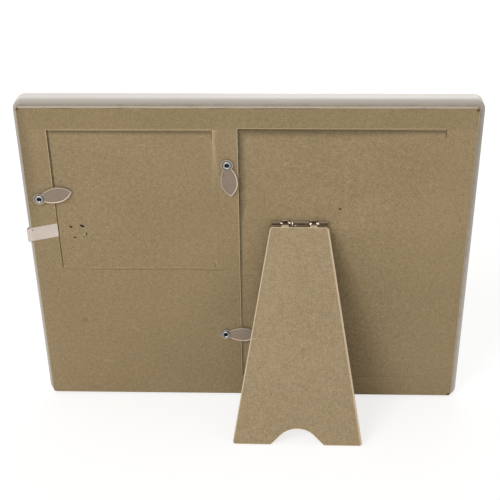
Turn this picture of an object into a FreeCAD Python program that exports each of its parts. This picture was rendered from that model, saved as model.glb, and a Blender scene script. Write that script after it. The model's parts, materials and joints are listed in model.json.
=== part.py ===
import FreeCAD, Part
import math
import os
import re

import Sketcher
from FreeCAD import Placement, Rotation, Vector

# Easel back photo frame, landscape, standing on its moulding and its strut.
# Row frame: X to the right as seen from behind, the back faces -Y, Z up.
# Every piece is drawn upright in the frame's own plane: X across from the board's middle, Y through the
# frame from the board's outer surface (plus towards the front), Z up from the board's bottom edge.
# The upright frame is then leaned back until its moulding and its strut's foot stand on one level.

# Driving dimensions, in millimetres
SIZES = [
    # backboard: its width and height are its margins, its doors and the bar between them
    ("board_thickness", 2.0),
    ("board_corner_radius", 1.6),
    # moulding, one piece with a rounded section that stands out round the board
    ("moulding_margin", 2.8),
    ("moulding_offset", 0.4),
    ("moulding_depth", 12.0),
    ("moulding_corner_radius", 5.5),
    ("moulding_back_radius", 2.75),
    ("moulding_front_radius", 3.0),
    ("window_bevel", 2.4),
    # doors, each a little larger than its photo, cut out round three sides and hinged on a scored line
    ("small_door_side_lap", 1.7),
    ("small_door_end_lap", 1.2),
    ("small_door_left", 14.6),
    ("small_door_top", 12.6),
    ("small_door_sink", 0.25),
    ("door_bar", 13.4),
    ("large_door_side_lap", 1.3),
    ("large_door_end_lap", 1.8),
    ("large_door_right", 15.4),
    ("large_door_top", 11.9),
    ("large_door_bottom", 13.4),
    ("large_door_sink", 0.9),
    ("door_cut_gap", 0.4),
    ("crease_gap", 0.05),
    ("crease_skin", 0.6),
    ("knife_width", 0.3),
    ("small_relief_top", 5.4),
    ("small_relief_bottom", 3.4),
    ("large_relief_top", 4.0),
    ("knife_overrun", 6.7),
    # what lies behind each window, and the photo sizes that the frame takes
    ("small_photo_width", 80.0),
    ("small_photo_height", 80.0),
    ("large_photo_width", 101.6),
    ("large_photo_height", 152.4),
    ("glass_thickness", 2.0),
    ("insert_thickness", 0.25),
    ("card_thickness", 0.8),
    ("rebate_slack", 1.2),
    ("rebate_clearance", 0.4),
    ("glass_clearance", 0.5),
    ("sight_lap", 3.0),
    # eyelets, each rolled over the board with a turn button on it
    ("eyelet_hole_radius", 1.1),
    ("eyelet_barrel_radius", 1.5),
    ("eyelet_flange_radius", 2.2),
    ("eyelet_flange_height", 0.7),
    ("eyelet_clearance", 0.05),
    ("eyelet_clinch_radius", 2.1),
    ("eyelet_clinch_height", 0.5),
    ("eyelet_pocket_margin", 0.4),
    # turn button: a round head with a moat round the flange, and a leaf, both inside a raised rim
    ("leaf_length", 18.1),
    ("leaf_half_width", 4.4),
    ("leaf_moat", 0.35),
    ("leaf_thickness", 0.8),
    ("leaf_rim_width", 0.55),
    ("leaf_rim_height", 0.3),
    ("leaf_lift", 0.35),
    ("leaf_hub_radius", 2.5),
    ("leaf_running_gap", 0.05),
    # where the eyelets stand on the board
    ("left_eyelet_from_edge", 6.5),
    ("left_eyelet_from_top", 51.7),
    ("upper_eyelet_from_door", 6.1),
    ("upper_eyelet_from_top", 31.5),
    ("lower_eyelet_from_door", 9.2),
    ("lower_eyelet_height", 43.3),
    # strut
    ("strut_top_width", 30.7),
    ("strut_foot_width", 68.8),
    ("strut_thickness", 2.6),
    ("strut_reach", 117.1),
    ("strut_edge_radius", 0.6),
    ("strut_top_corner", 1.8),
    ("strut_foot_corner", 1.4),
    ("notch_width", 28.0),
    ("notch_height", 8.6),
    ("strut_notch_corner", 0.8),
    # hinge of the strut
    ("hinge_height", 115.3),
    ("hinge_from_cut", 31.3),
    ("hinge_width", 29.4),
    ("barrel_radius", 1.4),
    ("hinge_metal", 0.5),
    ("pin_clearance", 0.03),
    ("knuckle_gap", 0.25),
    ("outer_knuckle", 5.0),
    ("inner_knuckle", 3.9),
    ("hinge_leaf_length", 13.0),
    ("hinge_relief", 0.33),
    ("heel_reach", 2.1),
    ("heel_gap", 0.05),
    ("prong_length", 1.5),
    ("prong_width", 1.2),
    ("prong_side_inset", 3.5),
    ("prong_end_inset", 2.2),
    ("prong_clearance", 0.05),
    # tape tab stuck on the board and wrapped loosely over the left edge
    ("tape_thickness", 0.2),
    ("tape_width", 7.8),
    ("tape_from_top", 70.9),
    ("tape_bulge", 1.1),
    ("tape_wrap_depth", 8.2),
    # how far a cut runs past what it cuts
    ("overrun", 1.0),
]
# Turns and tilts, in degrees
ANGLES = [
    ("strut_open_angle", 28.1),
    ("left_leaf_turn", 14.4),
    ("upper_leaf_turn", -84.3),
    ("lower_leaf_turn", -1.0),
    ("leaf_neck_angle", 46.0),
    ("notch_flank_angle", 44.91),
    ("tape_tilt", 12.0),
]
# Shares of the size that each one names
SHARES = [
    ("leaf_belly_share", 0.525),
    ("tape_bulge_depth_share", 0.45),
    ("flange_crown_share", 0.5),
    ("flange_throat_share", 0.4),
]

doc = FreeCAD.newDocument("photo_frame")
sheet = doc.addObject("Spreadsheet::Sheet", "sizes")
for row, (alias, number) in enumerate(SIZES + ANGLES + SHARES, start=1):
    sheet.set(f"A{row}", alias)
    sheet.set(f"B{row}", str(number))
    sheet.setAlias(f"B{row}", alias)
doc.recompute()


def size(expression):
    """The value of an expression in the sheet's aliases."""
    return float(sheet.evalExpression(expression))


def bind(thing, **expressions):
    """Tie properties of an object to expressions in the sheet's aliases."""
    for name, expression in expressions.items():
        thing.setExpression(name, in_sheet(expression))


def in_sheet(expression):
    """The same expression with each alias looked up in the sheet."""
    return re.sub("[a-z_]+", lambda word: f"sizes.{word[0]}" if word[0] in ALIASES else word[0], expression)


ALIASES = {alias for alias, number in SIZES + ANGLES + SHARES}
PHOTOS = ("small", "large")
FULL_TURN = 360
QUARTER_TURN = 90
ORIGIN = -1
TOLERANCE = 1e-4

# Sizes and places that follow from the driving ones
WIDTHS = {photo: f"( {photo}_photo_width + 2 * {photo}_door_side_lap )" for photo in PHOTOS}
HEIGHTS = {photo: f"( {photo}_photo_height + 2 * {photo}_door_end_lap )" for photo in PHOTOS}
BOARD_WIDTH = f"( small_door_left + {WIDTHS['small']} + door_bar + {WIDTHS['large']} + large_door_right )"
BOARD_HEIGHT = f"( large_door_top + {HEIGHTS['large']} + large_door_bottom )"
BOARD_LEFT = f"-{BOARD_WIDTH} / 2"
DOOR_LEFTS = {
    "small": f"{BOARD_LEFT} + small_door_left",
    "large": f"{BOARD_WIDTH} / 2 - large_door_right - {WIDTHS['large']}",
}
DOOR_BOTTOMS = {
    "small": f"{BOARD_HEIGHT} - small_door_top - {HEIGHTS['small']}",
    "large": "large_door_bottom",
}
CREASES = {photo: size(f"{DOOR_LEFTS[photo]} + {WIDTHS[photo]}") for photo in PHOTOS}
REBATE_DEPTH = "rebate_slack + card_thickness + insert_thickness + glass_thickness"
STRUT_TOP_GAP = "barrel_radius + hinge_relief"
EYELETS = {
    "left": (
        size(f"{BOARD_LEFT} + left_eyelet_from_edge"),
        size(f"{BOARD_HEIGHT} - left_eyelet_from_top"),
    ),
    "upper": (
        size(f"{DOOR_LEFTS['large']} - upper_eyelet_from_door"),
        size(f"{BOARD_HEIGHT} - upper_eyelet_from_top"),
    ),
    "lower": (
        size(f"{DOOR_LEFTS['large']} - lower_eyelet_from_door"),
        size("lower_eyelet_height"),
    ),
}
UPRIGHT = {}


# Helpers that draw on a body's own planes

def body(label):
    thing = doc.addObject("PartDesign::Body", label)
    thing.Label = label
    return thing


def sketch(owner, name, role="XZ_Plane", offset="0"):
    """A sketch on one of the body's own planes. XZ looks along +Y, so a plus offset goes outwards, to -Y."""
    drawing = owner.newObject("Sketcher::SketchObject", name)
    plane = [item for item in owner.Origin.OriginFeatures if item.Role == role][0]
    drawing.AttachmentSupport = [(plane, "")]
    drawing.MapMode = "FlatFace"
    drawing.setExpression("AttachmentOffset.Base.z", in_sheet(offset))
    return drawing


def rectangle(drawing, left, bottom, width, height):
    """A rectangle whose four sizes are expressions in the sheet's aliases."""
    x, y, w, h = (size(text) for text in (left, bottom, width, height))
    corners = [Vector(x, y), Vector(x + w, y), Vector(x + w, y + h), Vector(x, y + h)]
    first = drawing.GeometryCount
    for start, end in zip(corners, corners[1:] + corners[:1]):
        drawing.addGeometry(Part.LineSegment(start, end), False)
    sides = [first, first + 1, first + 2, first + 3]
    for side, following in zip(sides, sides[1:] + sides[:1]):
        drawing.addConstraint(Sketcher.Constraint("Coincident", side, 2, following, 1))
    for side in (sides[0], sides[2]):
        drawing.addConstraint(Sketcher.Constraint("Horizontal", side))
    for side in (sides[1], sides[3]):
        drawing.addConstraint(Sketcher.Constraint("Vertical", side))
    for kind, points, value, text in (
        ("DistanceX", (sides[0], 1, sides[0], 2), w, width),
        ("DistanceY", (sides[1], 1, sides[1], 2), h, height),
        ("DistanceX", (ORIGIN, 1, sides[0], 1), x, left),
        ("DistanceY", (ORIGIN, 1, sides[0], 1), y, bottom),
    ):
        index = drawing.addConstraint(Sketcher.Constraint(kind, *points, value))
        drawing.setExpression(f"Constraints[{index}]", in_sheet(text))


def circle(drawing, centre, radius):
    """A circle at a worked-out centre, its radius an expression in the sheet's aliases."""
    edge = drawing.addGeometry(Part.Circle(Vector(*centre), Vector(0, 0, 1), size(radius)), False)
    index = drawing.addConstraint(Sketcher.Constraint("Radius", edge, size(radius)))
    drawing.setExpression(f"Constraints[{index}]", in_sheet(radius))
    drawing.addConstraint(Sketcher.Constraint("DistanceX", ORIGIN, 1, edge, 3, centre[0]))
    drawing.addConstraint(Sketcher.Constraint("DistanceY", ORIGIN, 1, edge, 3, centre[1]))


def loop(drawing, pieces):
    """A closed outline of pieces, each a pair of points for a line or three points for an arc."""
    for piece in pieces:
        points = [Vector(*point) for point in piece]
        curve = Part.LineSegment(*points) if len(points) == 2 else Part.Arc(*points)
        drawing.addGeometry(curve, False)


def polygon(drawing, corners):
    loop(drawing, list(zip(corners, corners[1:] + corners[:1])))


def pad(owner, drawing, name, length, inwards=False):
    """Thicken a sketch by an expression, outwards to -Y or inwards to +Y."""
    feature = owner.newObject("PartDesign::Pad", name)
    feature.Profile = drawing
    feature.Reversed = inwards
    feature.setExpression("Length", in_sheet(length))
    finish(owner, drawing, feature)
    return feature


def pocket(owner, drawing, name, depth, outwards=False):
    """Cut a sketch away by an expression, inwards to +Y unless outwards."""
    before = owner.Shape.Volume
    feature = owner.newObject("PartDesign::Pocket", name)
    feature.Profile = drawing
    feature.Reversed = outwards
    feature.setExpression("Length", in_sheet(depth))
    finish(owner, drawing, feature)
    if not owner.Shape.Volume < before:
        raise RuntimeError(f"{owner.Label}: {name} cuts nothing")
    return feature


def dress(owner, kind, name, base, edges, amount):
    """A fillet or chamfer on the named edges of a feature."""
    if not edges:
        raise RuntimeError(f"{owner.Label}: {name} found no edge")
    feature = owner.newObject(f"PartDesign::{kind}", name)
    feature.Base = (base, edges)
    feature.setExpression("Radius" if kind == "Fillet" else "Size", in_sheet(amount))
    owner.Tip = feature
    doc.recompute()
    return feature


def finish(owner, drawing, feature):
    drawing.Visibility = False
    owner.Tip = feature
    doc.recompute()


def edges_where(feature, test):
    """Names of a feature's edges whose bounding box passes a test."""
    edges = enumerate(feature.Shape.Edges, start=1)
    return [f"Edge{number}" for number, edge in edges if test(edge.BoundBox)]


def near(one, other):
    return abs(one - other) < TOLERANCE


def across_board(box):
    """True for an edge that runs straight through the frame, along Y."""
    return near(box.XLength, 0) and near(box.ZLength, 0)


def in_plane_at(depth):
    """A test for edges that lie in the plane across the frame at this depth."""
    return lambda box: near(box.YMin, depth) and near(box.YMax, depth)


# Moulding: one piece, with a window and a rebate behind it for each photo

def behind_door(photo, grow):
    """Left, bottom, width and height of a rectangle larger than a door by an expression all round."""
    return (
        f"{DOOR_LEFTS[photo]} - ( {grow} )",
        f"{DOOR_BOTTOMS[photo]} - ( {grow} )",
        f"{WIDTHS[photo]} + 2 * ( {grow} )",
        f"{HEIGHTS[photo]} + 2 * ( {grow} )",
    )


def behind_photo(photo, grow):
    """The same for a rectangle larger than the photo, which lies centred behind its door."""
    return (
        f"{DOOR_LEFTS[photo]} + {photo}_door_side_lap - ( {grow} )",
        f"{DOOR_BOTTOMS[photo]} + {photo}_door_end_lap - ( {grow} )",
        f"{photo}_photo_width + 2 * ( {grow} )",
        f"{photo}_photo_height + 2 * ( {grow} )",
    )


def make_moulding():
    part = body("moulding")
    back = "-board_thickness"
    outline = sketch(part, "moulding_outline", offset=back)
    rectangle(
        outline,
        f"{BOARD_LEFT} - moulding_margin + moulding_offset",
        "-moulding_margin",
        f"{BOARD_WIDTH} + 2 * moulding_margin",
        f"{BOARD_HEIGHT} + 2 * moulding_margin",
    )
    slab = pad(part, outline, "moulding_slab", "moulding_depth", inwards=True)
    corners = dress(
        part, "Fillet", "moulding_corners", slab, edges_where(slab, across_board), "moulding_corner_radius"
    )
    back_rim = dress(
        part, "Fillet", "moulding_back_rim", corners,
        edges_where(corners, in_plane_at(size("board_thickness"))), "moulding_back_radius",
    )
    front = size("board_thickness + moulding_depth")
    dress(
        part, "Fillet", "moulding_front_rim", back_rim,
        edges_where(back_rim, in_plane_at(front)), "moulding_front_radius",
    )
    windows = sketch(part, "window_outlines", offset=back)
    rebates = sketch(part, "rebate_outlines", offset=back)
    for photo in PHOTOS:
        rectangle(windows, *behind_photo(photo, "-sight_lap"))
        rectangle(rebates, *behind_door(photo, "rebate_clearance"))
    pocket(part, windows, "windows", "moulding_depth + overrun")
    pocket(part, rebates, "rebates", REBATE_DEPTH)
    pockets = sketch(part, "eyelet_pocket_outlines", offset=back)
    for x, z in EYELETS.values():
        circle(pockets, (x, z), "eyelet_clinch_radius + eyelet_pocket_margin")
    cut = pocket(part, pockets, "eyelet_pockets", "eyelet_clinch_height + eyelet_pocket_margin")

    def round_window(box):
        return in_plane_at(front)(box) and window_span(box)

    def window_span(box):
        return any(
            near(box.XLength, size(f"{photo}_photo_width - 2 * sight_lap"))
            or near(box.ZLength, size(f"{photo}_photo_height - 2 * sight_lap"))
            for photo in PHOTOS
        )

    dress(part, "Chamfer", "window_bevels", cut, edges_where(cut, round_window), "window_bevel")


# Glass, photo insert and backing card in each rebate, front to back

def make_sheet(label, rectangle_behind, thickness, depth):
    """A flat sheet in a photo's rebate. Depth is the expression of its face towards the back."""
    part = doc.addObject("Part::Box", label)
    part.Label = label
    left, bottom, width, height = rectangle_behind
    bind(part, Length=width, Width=thickness, Height=height)
    UPRIGHT[label] = Placement(Vector(size(left), size(depth), size(bottom)), Rotation())


def make_rebate_stack(photo):
    card_depth = "board_thickness + rebate_slack"
    insert_depth = f"{card_depth} + card_thickness"
    glass_depth = f"{insert_depth} + insert_thickness"
    in_rebate = behind_door(photo, "rebate_clearance - glass_clearance")
    make_sheet(f"{photo}_backing_card", in_rebate, "card_thickness", card_depth)
    make_sheet(f"{photo}_photo_insert", behind_photo(photo, "0"), "insert_thickness", insert_depth)
    make_sheet(f"{photo}_glass", in_rebate, "glass_thickness", glass_depth)


# Backboard with its two door openings and the knife's overruns

def make_backboard():
    part = body("backboard")
    outline = sketch(part, "board_outline")
    rectangle(outline, BOARD_LEFT, "0", BOARD_WIDTH, BOARD_HEIGHT)
    slab = pad(part, outline, "board_slab", "board_thickness", inwards=True)
    dress(part, "Fillet", "board_corners", slab, edges_where(slab, across_board), "board_corner_radius")
    doors = sketch(part, "door_openings")
    for photo in PHOTOS:
        rectangle(
            doors,
            f"{DOOR_LEFTS[photo]} - door_cut_gap",
            f"{DOOR_BOTTOMS[photo]} - door_cut_gap",
            f"{WIDTHS[photo]} + door_cut_gap",
            f"{HEIGHTS[photo]} + 2 * door_cut_gap",
        )
    pocket(part, doors, "door_cuts", "board_thickness + overrun")
    knife = sketch(part, "knife_overrun_outline")
    rectangle(
        knife,
        f"{DOOR_LEFTS['small']} + {WIDTHS['small']} - overrun",
        f"{DOOR_BOTTOMS['small']} - door_cut_gap",
        "knife_overrun + overrun",
        "knife_width",
    )
    pocket(part, knife, "knife_overrun_cut", "board_thickness + overrun")
    holes = sketch(part, "eyelet_holes")
    for x, z in EYELETS.values():
        circle(holes, (x, z), "eyelet_barrel_radius + eyelet_clearance")
    pocket(part, holes, "eyelet_hole_cuts", "board_thickness + overrun")


# Doors, drawn with the crease on their own Z axis and the bottom edge on X

def make_door(photo, relief_top, relief_bottom):
    part = body(f"{photo}_door")
    width, height = size(WIDTHS[photo]), size(HEIGHTS[photo])
    step = -size("knife_width")
    edge = -size("crease_gap")
    corners = [(-width, 0), (step, 0), (step, relief_bottom), (edge, relief_bottom)]
    if not relief_bottom:
        corners = [(-width, 0), (edge, 0)]
    corners += [(edge, height - relief_top), (step, height - relief_top), (step, height), (-width, height)]
    outline = sketch(part, f"{photo}_door_outline")
    polygon(outline, corners)
    slab = pad(part, outline, f"{photo}_door_slab", "board_thickness", inwards=True)
    inner = size("board_thickness")

    def crease_edge(box):
        return in_plane_at(inner)(box) and near(box.XMin, edge) and near(box.XMax, edge)

    dress(
        part, "Chamfer", f"{photo}_door_score", slab, edges_where(slab, crease_edge),
        "board_thickness - crease_skin",
    )
    if photo == "large":
        slots = sketch(part, "door_prong_slots", offset="overrun")
        prong_slots(slots, f"-{WIDTHS['large']} + hinge_from_cut", "hinge_height - large_door_bottom")
        pocket(part, slots, "door_prong_cuts", "prong_length + prong_clearance + overrun")


def door_place(photo):
    """The door's place, sunk at its free edge as it hangs on its crease."""
    sink = math.degrees(math.asin(size(f"{photo}_door_sink / {WIDTHS[photo]}")))
    corner = Vector(CREASES[photo], 0, size(DOOR_BOTTOMS[photo]))
    return Placement(corner, Rotation(Vector(0, 0, 1), -sink))


# Turn buttons and their eyelets, drawn about the eyelet's axis with the leaf along +X

def meet(radius, centre, other_radius):
    """The upper point where a circle about zero meets a circle about a centre."""
    gap = math.hypot(*centre)
    along = (gap**2 + radius**2 - other_radius**2) / (2 * gap)
    aside = math.sqrt(radius**2 - along**2)
    ux, uy = centre[0] / gap, centre[1] / gap
    points = [(along * ux - side * uy, along * uy + side * ux) for side in (aside, -aside)]
    return max(points, key=lambda point: point[1])


def leaf_outline(drawing, inset):
    """Head, two flanks of two arcs each and a tip, drawn in from the leaf's outline by an inset."""
    head, half_width = size("eyelet_flange_radius + leaf_moat + leaf_rim_width"), size("leaf_half_width")
    belly_x = size("leaf_length * leaf_belly_share")
    neck = math.radians(size("leaf_neck_angle"))
    neck_x, neck_y = head * math.cos(neck), head * math.sin(neck)
    drop = half_width - neck_y
    back = ((belly_x - neck_x) ** 2 + drop**2) / (2 * drop)
    reach = size("leaf_length") - belly_x
    front = (reach**2 + half_width**2) / (2 * half_width)
    neck_point = meet(head - inset, (belly_x, half_width - back), back - inset)
    belly = (belly_x, half_width - inset)
    tip = (belly_x + math.sqrt((front - inset) ** 2 - (front - half_width) ** 2), 0)
    back_centre, front_centre = (belly_x, half_width - back), (belly_x, half_width - front)
    back_middle = arc_middle(back_centre, back - inset, neck_point, belly)
    front_middle = arc_middle(front_centre, front - inset, belly, tip)

    def below(point):
        return point[0], -point[1]

    loop(drawing, [
        (below(neck_point), (-(head - inset), 0), neck_point),
        (neck_point, back_middle, belly),
        (belly, front_middle, tip),
        (tip, below(front_middle), below(belly)),
        (below(belly), below(back_middle), below(neck_point)),
    ])


def arc_middle(centre, radius, start, end):
    """The point halfway along the short arc between two points of a circle."""
    x = (start[0] + end[0]) / 2 - centre[0]
    y = (start[1] + end[1]) / 2 - centre[1]
    stretch = radius / math.hypot(x, y)
    return centre[0] + x * stretch, centre[1] + y * stretch


def make_turn_button(place):
    part = body(f"turn_button_{place}")
    plate = sketch(part, f"{place}_leaf_outline", offset="leaf_lift")
    leaf_outline(plate, 0)
    pad(part, plate, f"{place}_leaf_plate", "leaf_thickness")
    rim = sketch(part, f"{place}_leaf_rim_outline", offset="leaf_lift + leaf_thickness")
    leaf_outline(rim, 0)
    leaf_outline(rim, size("leaf_rim_width"))
    pad(part, rim, f"{place}_leaf_rim", "leaf_rim_height")
    hub = sketch(part, f"{place}_leaf_hub_outline")
    circle(hub, (0, 0), "leaf_hub_radius")
    pad(part, hub, f"{place}_leaf_hub", "leaf_lift")
    hole = sketch(part, f"{place}_leaf_hole_outline", offset="leaf_lift + leaf_thickness + overrun")
    circle(hole, (0, 0), "eyelet_barrel_radius + eyelet_clearance")
    pocket(part, hole, f"{place}_leaf_hole", "leaf_lift + leaf_thickness + 2 * overrun")


def make_eyelet(place):
    """A hollow eyelet: a domed flange over the leaf, a barrel and a clinched end under the board."""
    part = body(f"eyelet_{place}")
    hole, barrel = size("eyelet_hole_radius"), size("eyelet_barrel_radius")
    flange, clinch = size("eyelet_flange_radius"), size("eyelet_clinch_radius")
    seat = -size("leaf_lift + leaf_thickness + leaf_running_gap")
    height = size("eyelet_flange_height")
    crown = (hole + (flange - hole) * size("flange_crown_share"), seat - height)
    throat = (hole, seat - height * size("flange_throat_share"))
    under = size("board_thickness")
    end = under + size("eyelet_clinch_height")
    profile = sketch(part, f"{place}_eyelet_profile", role="XY_Plane")
    loop(profile, [
        ((hole, end), throat),
        (throat, crown, (flange, seat)),
        ((flange, seat), (barrel, seat)),
        ((barrel, seat), (barrel, under)),
        ((barrel, under), (clinch, under)),
        ((clinch, under), (clinch, end)),
        ((clinch, end), (hole, end)),
    ])
    turned = part.newObject("PartDesign::Revolution", f"{place}_eyelet_turned")
    turned.Profile = profile
    turned.ReferenceAxis = (profile, ["V_Axis"])
    turned.Angle = FULL_TURN
    finish(part, profile, turned)


# Strut and its hinge, drawn folded with the hinge pin on X

def make_strut():
    part = body("strut")
    top, foot = size("strut_top_width / 2"), size("strut_foot_width / 2")
    start, end = -size(STRUT_TOP_GAP), -size("strut_reach")
    notch = size("notch_width / 2")
    crown = end + size("notch_height")
    sine, cosine = size("cos( notch_flank_angle * 1 deg )"), size("sin( notch_flank_angle * 1 deg )")
    radius = (notch * cosine - size("notch_height") * sine) / (1 - sine)
    arch, shoulder = radius * cosine, crown - radius * (1 - sine)
    outline = sketch(part, "strut_outline", offset="barrel_radius")
    loop(outline, [
        ((-top, start), (top, start)),
        ((top, start), (foot, end)),
        ((foot, end), (notch, end)),
        ((notch, end), (arch, shoulder)),
        ((arch, shoulder), (0, crown), (-arch, shoulder)),
        ((-arch, shoulder), (-notch, end)),
        ((-notch, end), (-foot, end)),
        ((-foot, end), (-top, start)),
    ])
    slab = pad(part, outline, "strut_slab", "strut_thickness")

    def top_corner(box):
        return across_board(box) and near(box.ZMin, start)

    def foot_corner(box):
        return across_board(box) and near(box.ZMin, end) and near(abs(box.XMin), foot)

    def notch_corner(box):
        return across_board(box) and near(box.ZMin, end) and near(abs(box.XMin), notch)

    topped = dress(
        part, "Fillet", "strut_top_corners", slab,
        edges_where(slab, top_corner), "strut_top_corner",
    )
    eased = dress(
        part, "Fillet", "strut_notch_corners", topped,
        edges_where(topped, notch_corner), "strut_notch_corner",
    )
    footed = dress(
        part, "Fillet", "strut_foot_corners", eased,
        edges_where(eased, foot_corner), "strut_foot_corner",
    )
    outer = -size("barrel_radius + strut_thickness")
    dress(
        part, "Fillet", "strut_eased_edge", footed,
        edges_where(footed, in_plane_at(outer)), "strut_edge_radius",
    )
    slots = sketch(part, "strut_prong_slots", offset="barrel_radius - overrun")
    prong_slots(slots, "0", "0")
    pocket(part, slots, "strut_prong_cuts", "prong_length + prong_clearance + overrun", outwards=True)


def prong_places():
    """Left edge and bottom of each prong of a hinge leaf: two on each side, near its two ends."""
    side = "hinge_width / 2 - prong_side_inset - prong_width"
    near_pin = f"-( {STRUT_TOP_GAP} ) - prong_end_inset - hinge_metal"
    far_end = "-hinge_leaf_length + prong_end_inset"
    for left in (side, "-hinge_width / 2 + prong_side_inset"):
        for bottom in (near_pin, far_end):
            yield left, bottom


def prong_slots(drawing, across, above):
    """Slots a little larger than the prongs, for a hinge pin across and above the drawing's zero."""
    for left, bottom in prong_places():
        rectangle(
            drawing,
            f"{across} + {left} - prong_clearance",
            f"{above} + {bottom} - prong_clearance",
            "prong_width + 2 * prong_clearance",
            "hinge_metal + 2 * prong_clearance",
        )


def knuckles():
    """Left edge and width of each knuckle, with the leaf that it belongs to, from left to right."""
    outer, inner, gap = "outer_knuckle", "inner_knuckle", "knuckle_gap"
    middle = "hinge_width - 2 * outer_knuckle - 2 * inner_knuckle - 4 * knuckle_gap"
    left = "-hinge_width / 2"
    for owner, width in (
        ("door", outer), ("strut", inner), ("door", f"( {middle} )"), ("strut", inner), ("door", outer)
    ):
        yield owner, left, width
        left = f"{left} + {width} + {gap}"


def block(name, left, depth, bottom, width, thickness, height):
    """A box in the hinge's own frame, its six numbers expressions in the sheet's aliases."""
    thing = doc.addObject("Part::Box", name)
    bind(thing, Length=width, Width=thickness, Height=height)
    for axis, text in zip("xyz", (left, depth, bottom)):
        thing.setExpression(f"Placement.Base.{axis}", in_sheet(text))
    return thing


def rod(name, left, width, radius):
    """A cylinder about the hinge pin's axis."""
    thing = doc.addObject("Part::Cylinder", name)
    bind(thing, Radius=radius, Height=width)
    thing.Placement = Placement(Vector(0, 0, 0), Rotation(Vector(0, 1, 0), QUARTER_TURN))
    thing.setExpression("Placement.Base.x", in_sheet(left))
    return thing


def make_hinge_leaf(owner):
    """A plate with prongs on its board's side, and tabs that curl round the pin."""
    label = f"hinge_{owner}_leaf"
    if owner == "door":
        plate_depth, prong_depth = "barrel_radius - hinge_metal", "barrel_radius"
    else:
        plate_depth, prong_depth = "-barrel_radius", "-barrel_radius - prong_length"
    pieces = [block(
        f"{owner}_leaf_plate", "-hinge_width / 2", plate_depth, "-hinge_leaf_length",
        "hinge_width", "hinge_metal", f"hinge_leaf_length - ( {STRUT_TOP_GAP} )",
    )]
    for number, (holder, left, width) in enumerate(knuckles(), start=1):
        if holder != owner:
            continue
        pieces.append(rod(f"{owner}_knuckle_{number}", left, width, "barrel_radius"))
        pieces.append(block(
            f"{owner}_tab_{number}", left, plate_depth, f"-( {STRUT_TOP_GAP} )",
            width, "hinge_metal", STRUT_TOP_GAP,
        ))
        if owner == "strut":
            pieces.append(make_heel(number, left, width))
    for number, (left, bottom) in enumerate(prong_places(), start=1):
        pieces.append(block(
            f"{owner}_prong_{number}", left, prong_depth, bottom,
            "prong_width", "prong_length", "hinge_metal",
        ))
    solid = doc.addObject("Part::MultiFuse", f"{owner}_leaf_solid")
    solid.Shapes = pieces
    bore = rod(
        f"{owner}_leaf_bore", "-hinge_width / 2 - overrun", "hinge_width + 2 * overrun",
        "barrel_radius - hinge_metal",
    )
    part = doc.addObject("Part::Cut", label)
    part.Label = label
    part.Base = solid
    part.Tool = bore


def make_heel(number, left, width):
    """The end of a strut knuckle's curl. It comes to bear on the door when the strut is fully open."""
    turn = "strut_open_angle"
    inner_face = f"( barrel_radius - heel_gap - heel_reach * sin( {turn} * 1 deg ) ) / cos( {turn} * 1 deg )"
    depth = f"{inner_face} - hinge_metal"
    return block(f"heel_{number}", left, depth, "0", width, "hinge_metal", "heel_reach")


def make_hinge_pin():
    part = rod("hinge_pin", "-hinge_width / 2", "hinge_width", "barrel_radius - hinge_metal - pin_clearance")
    part.Label = "hinge_pin"
    part.setExpression("Placement.Base.x", None)
    UPRIGHT["hinge_pin"] = hinge_place() * Placement(
        Vector(-size("hinge_width / 2"), 0, 0), Rotation(Vector(0, 1, 0), QUARTER_TURN)
    )


def hinge_place():
    """The hinge pin's place on the large door, and with it the sunk door's small turn."""
    across = size(f"-{WIDTHS['large']} + hinge_from_cut")
    above = size("hinge_height - large_door_bottom")
    return door_place("large") * Placement(Vector(across, -size("barrel_radius"), above), Rotation())


def strut_place():
    """The open strut's place: its foot swings outwards about the pin."""
    return hinge_place() * Placement(Vector(0, 0, 0), Rotation(Vector(-1, 0, 0), size("strut_open_angle")))


# Tape tab: stuck to the board beside the small door, wrapped over the board's and moulding's left edge

def make_edge_tape():
    part = body("edge_tape")
    thickness = size("tape_thickness")
    end = size(f"{DOOR_LEFTS['small']} - door_cut_gap")
    edge = size(BOARD_LEFT)
    side = size(f"{BOARD_LEFT} - moulding_margin + moulding_offset")
    height = f"{BOARD_HEIGHT} - tape_from_top"
    bulge = side - size("tape_bulge")
    depth = size("tape_wrap_depth")
    bulge_depth = depth * size("tape_bulge_depth_share")
    inner_bend = ((edge, 0), (bulge, bulge_depth), (side, depth))
    outer_bend = ((side - thickness, depth), (bulge - thickness, bulge_depth), (edge, -thickness))
    profile = sketch(part, "tape_profile", role="XY_Plane", offset=f"{height} - tape_width * 2")
    loop(profile, [
        ((end, 0), (edge, 0)),
        inner_bend,
        ((side, depth), (side - thickness, depth)),
        outer_bend,
        ((edge, -thickness), (end, -thickness)),
        ((end, -thickness), (end, 0)),
    ])
    strip = part.newObject("PartDesign::Pad", "tape_strip")
    strip.Profile = profile
    bind(strip, Length="tape_width * 4")
    finish(part, profile, strip)
    slope = math.tan(math.radians(size("tape_tilt")))
    half = size("tape_width / 2") / math.cos(math.radians(size("tape_tilt")))
    far = bulge - size("overrun")
    near_end = end + size("overrun")
    middle = size(height)
    side_level = middle + (side - end) * slope
    for name, sign in (("tape_top_edge", 1), ("tape_bottom_edge", -1)):
        limit = middle + sign * size("tape_width * 3")
        trim = sketch(part, f"{name}_outline", offset="overrun")
        polygon(trim, [
            (far, side_level + sign * half),
            (side, side_level + sign * half),
            (near_end, middle + (near_end - end) * slope + sign * half),
            (near_end, limit),
            (far, limit),
        ])
        pocket(part, trim, name, "tape_wrap_depth + 2 * overrun")


# Where everything stands

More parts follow.
